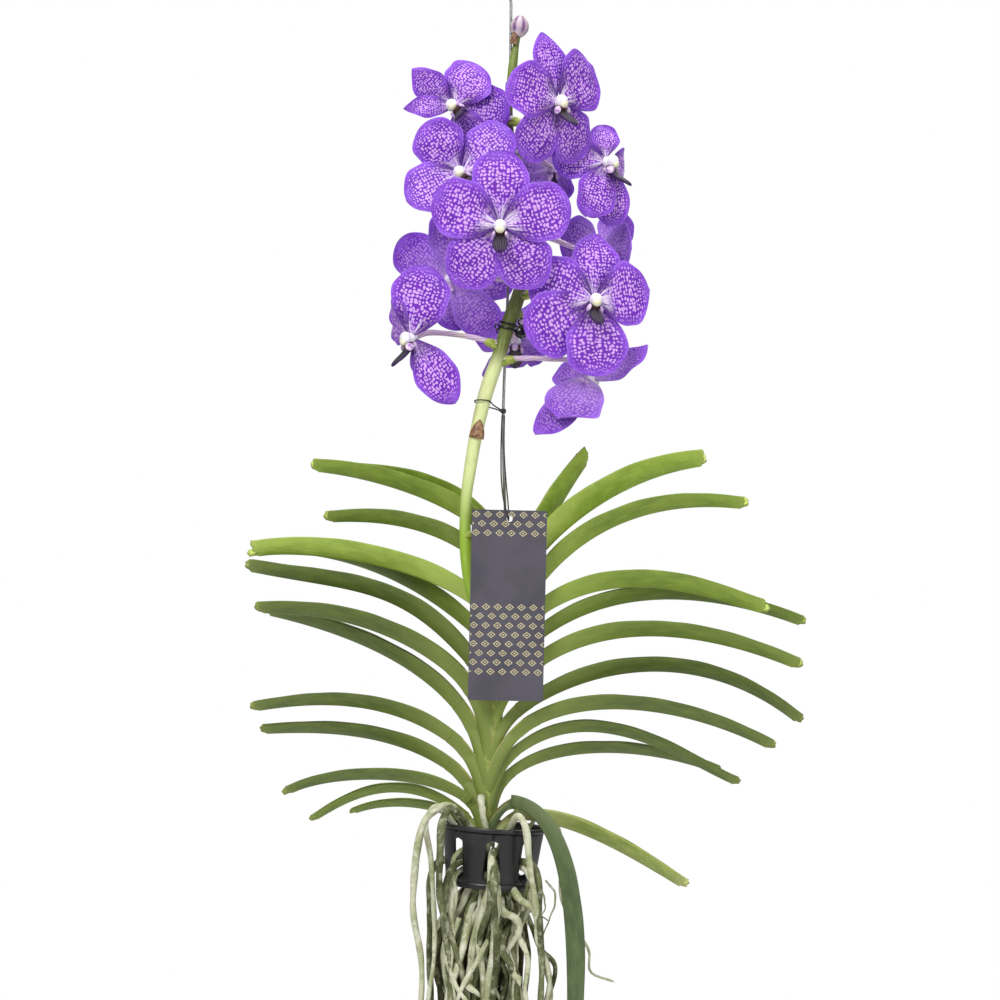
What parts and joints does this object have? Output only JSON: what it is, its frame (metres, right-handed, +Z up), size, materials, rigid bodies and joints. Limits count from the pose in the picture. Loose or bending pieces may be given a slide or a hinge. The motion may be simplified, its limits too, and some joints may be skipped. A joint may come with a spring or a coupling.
{
  "type": "vanda orchid in a hanging pot",
  "caption": "Flowering vanda orchid hanging from a hooked steel wire: small slotted pot, two ranks of strap leaves, one spray of netted violet flowers, long bare roots and a card tag.",
  "frame": {"origin": "top of the inside of the hook, where the plant bears on what it hangs from", "axes": "+Z up along the hanging wire, -Y the front that the large flower and the tag face, +X to the right seen from the front"},
  "size_m": [0.3976, 0.1513, 0.9182],
  "materials": {
    "galvanised_wire": "galvanised, slightly dull",
    "black_pot_plastic": "moulded, satin",
    "leaf_blade": "leathery leaf, semi-gloss",
    "stem_sheath": "leaf bases wrapped round the stem, satin",
    "flower_stalk": "living green stalk, satin",
    "vanda_tepal": "waxy petal, soft sheen",
    "aerial_root": "velamen, dry and matt",
    "black_clip_plastic": "moulded, glossy",
    "black_cord": "twisted thread",
    "tag_card": "printed card, matt"
  },
  "bodies": {
    "root": {"wire_hook": "galvanised_wire", "hanger_wire": "galvanised_wire", "pot": "black_pot_plastic", "stem": "stem_sheath", "leaf_left_01": "leaf_blade", "leaf_left_02": "leaf_blade", "leaf_left_03": "leaf_blade", "leaf_left_04": "leaf_blade", "leaf_left_05": "leaf_blade", "leaf_left_06": "leaf_blade", "leaf_left_07": "leaf_blade", "leaf_left_08": "leaf_blade", "leaf_left_09": "leaf_blade", "leaf_left_10": "leaf_blade", "leaf_left_11": "leaf_blade", "leaf_left_12": "leaf_blade", "leaf_left_13": "leaf_blade", "leaf_right_01": "leaf_blade", "leaf_right_02": "leaf_blade", "leaf_right_03": "leaf_blade", "leaf_right_04": "leaf_blade", "leaf_right_05": "leaf_blade", "leaf_right_06": "leaf_blade", "leaf_right_07": "leaf_blade", "leaf_right_08": "leaf_blade", "leaf_right_09": "leaf_blade", "leaf_right_10": "leaf_blade", "leaf_right_11": "leaf_blade", "leaf_right_12": "leaf_blade", "flower_spike": "flower_stalk", "bloom_01": "vanda_tepal", "bloom_02": "vanda_tepal", "bloom_03": "vanda_tepal", "bloom_04": "vanda_tepal", "bloom_05": "vanda_tepal", "bloom_06": "vanda_tepal", "bloom_07": "vanda_tepal", "bloom_08": "vanda_tepal", "bloom_09": "vanda_tepal", "bloom_10": "vanda_tepal", "bloom_11": "vanda_tepal", "bloom_12": "vanda_tepal", "roots": "aerial_root", "orchid_clip": "black_clip_plastic", "cord_tie": "black_cord", "tag_cord": "black_cord", "tag": "tag_card"}
  },
  "joints": []
}
